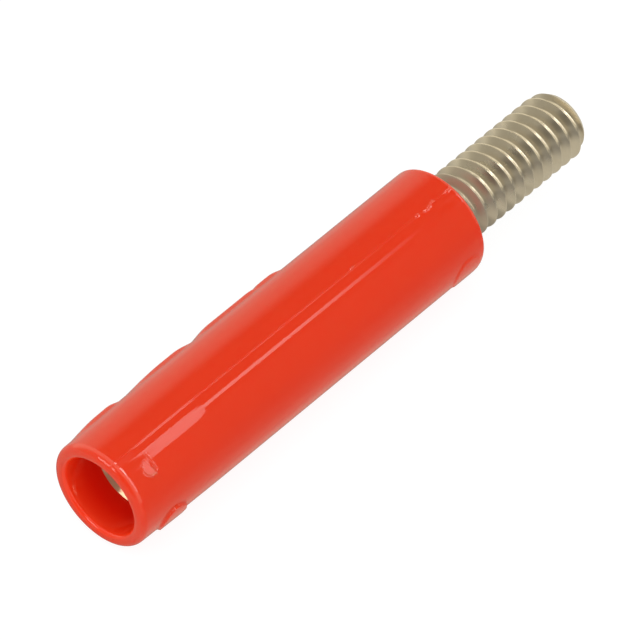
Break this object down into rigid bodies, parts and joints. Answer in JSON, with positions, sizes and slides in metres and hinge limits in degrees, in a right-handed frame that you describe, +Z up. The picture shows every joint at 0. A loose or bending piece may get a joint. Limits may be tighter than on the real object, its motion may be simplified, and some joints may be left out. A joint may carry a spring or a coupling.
{
  "type": "banana plug adapter",
  "caption": "Round adapter with a sleeved 4 mm banana socket at one end and a threaded stud at the other, on one turned contact body.",
  "frame": {"origin": "on the ground under the middle of the adapter's length, as it lies on its side", "axes": "+X along the adapter's axis, from the socket's mouth towards the stud; +Z up"},
  "size_m": [0.0384, 0.0069, 0.0066],
  "materials": {
    "sleeve_plastic": "glossy red moulding",
    "contact_metal": "nickel plated, turned"
  },
  "bodies": {
    "root": {"insulating_sleeve": "sleeve_plastic", "contact_body": "contact_metal"}
  },
  "joints": []
}
